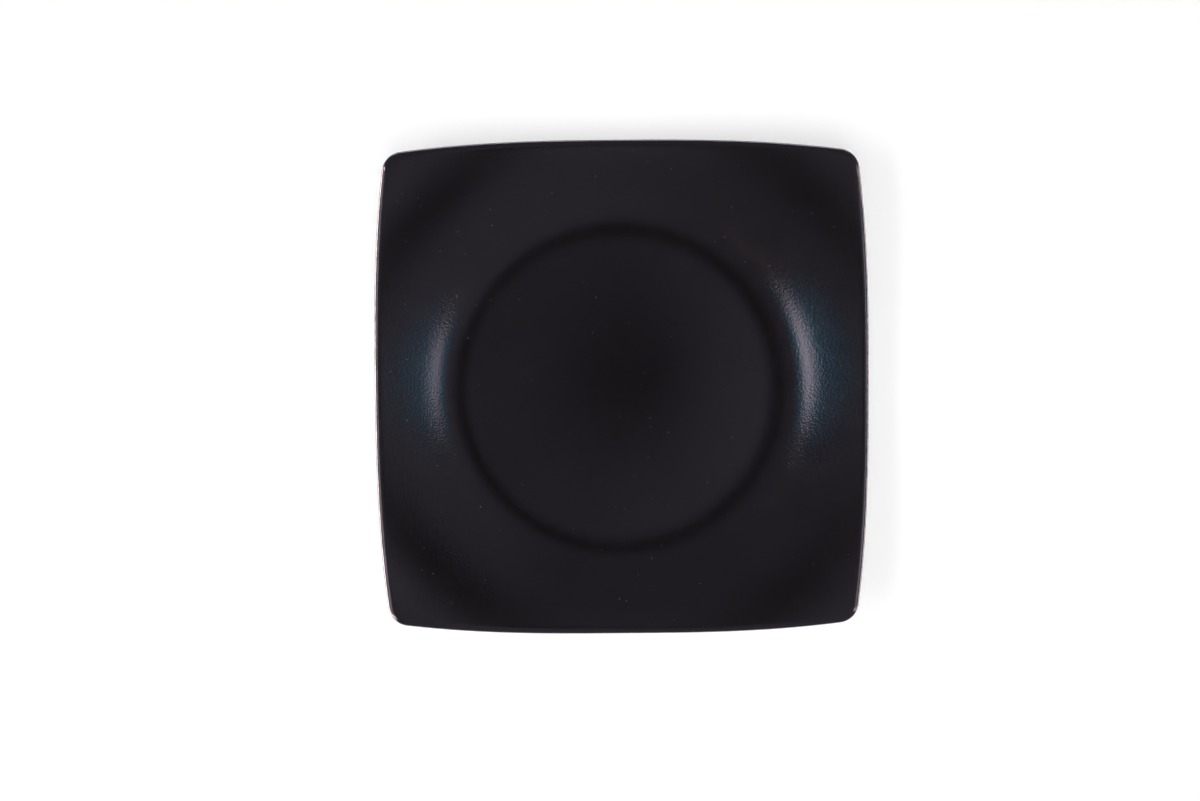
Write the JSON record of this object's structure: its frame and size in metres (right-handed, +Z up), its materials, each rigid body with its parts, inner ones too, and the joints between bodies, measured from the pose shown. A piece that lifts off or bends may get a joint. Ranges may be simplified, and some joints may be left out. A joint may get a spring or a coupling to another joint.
{
  "type": "square dessert plate",
  "caption": "Square dessert plate with bowed sides, raised corners, a round well and a foot ring, in satin black glazed stoneware.",
  "frame": {"origin": "centre of the foot ring on the table", "axes": "+Z up out of the well; +X and +Y square to the sides"},
  "size_m": [0.2048, 0.2048, 0.0228],
  "materials": {
    "bare_stoneware": "fired, unglazed, matt",
    "black_glaze": "satin black glaze with a fine grain"
  },
  "bodies": {
    "root": {"stoneware_body": "bare_stoneware", "glaze_coat": "black_glaze", "foot_well_glaze": "black_glaze"}
  },
  "joints": []
}
